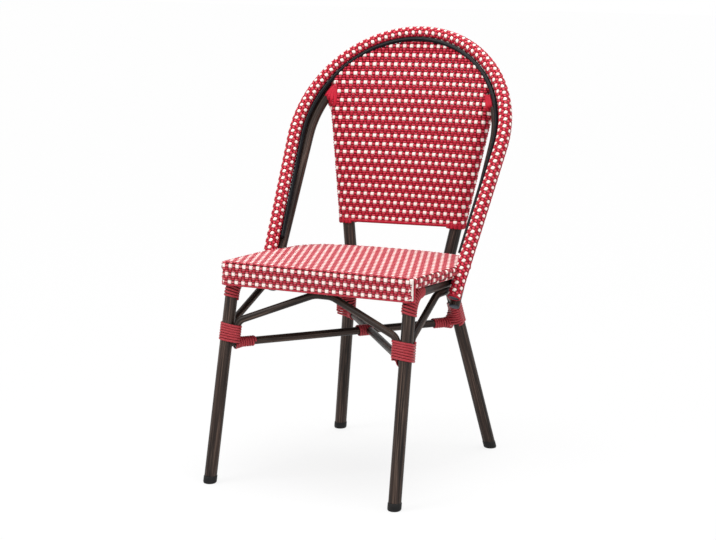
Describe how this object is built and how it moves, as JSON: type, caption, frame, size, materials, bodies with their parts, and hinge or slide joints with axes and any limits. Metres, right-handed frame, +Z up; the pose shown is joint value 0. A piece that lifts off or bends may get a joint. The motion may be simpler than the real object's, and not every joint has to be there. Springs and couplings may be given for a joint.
{
  "type": "bistro chair",
  "caption": "Bistro chair with a dark tube frame, a red and white woven seat and back panel, a woven arched hoop and red cord bindings at the joints.",
  "frame": {"origin": "middle of the footprint, on the floor", "axes": "+Z up; the chair faces -Y; +X is to the right as seen from the front, and left and right in node names are seen the same way"},
  "size_m": [0.5158, 0.5808, 0.9068],
  "materials": {
    "tube": "dark brown wood-grain coat, satin",
    "weave": "woven red and cream strands",
    "cord": "red strands wound side by side",
    "inner_frame": "bare",
    "foot_plastic": "black, moulded",
    "piping": "black, glossy"
  },
  "bodies": {
    "root": {"front_leg_left": "tube", "front_leg_right": "tube", "rear_leg_left": "tube", "rear_leg_right": "tube", "seat_front_rail": "tube", "seat_rear_rail": "tube", "hoop_tube": "tube", "hoop_core": "tube", "back_lower_rod": "tube", "front_bow": "tube", "side_bow_left": "tube", "side_bow_right": "tube", "stretcher_diagonal": "tube", "stretcher_front_half": "tube", "stretcher_rear_half": "tube", "seat_weave": "weave", "back_weave_panel": "weave", "hoop_weave": "weave", "front_top_binding_left": "cord", "front_top_binding_right": "cord", "front_binding_left": "cord", "front_binding_right": "cord", "rear_binding_left": "cord", "rear_binding_right": "cord", "crossing_binding": "cord", "stretcher_binding_front_left": "cord", "stretcher_binding_front_right": "cord", "stretcher_binding_rear_left": "cord", "stretcher_binding_rear_right": "cord", "seat_frame": "inner_frame", "seat_brace_front": "inner_frame", "seat_brace_rear": "inner_frame", "foot_glide_front_left": "foot_plastic", "foot_glide_front_right": "foot_plastic", "foot_glide_rear_left": "foot_plastic", "foot_glide_rear_right": "foot_plastic", "hoop_plug_left": "foot_plastic", "hoop_plug_right": "foot_plastic", "hoop_piping": "piping"}
  },
  "joints": []
}
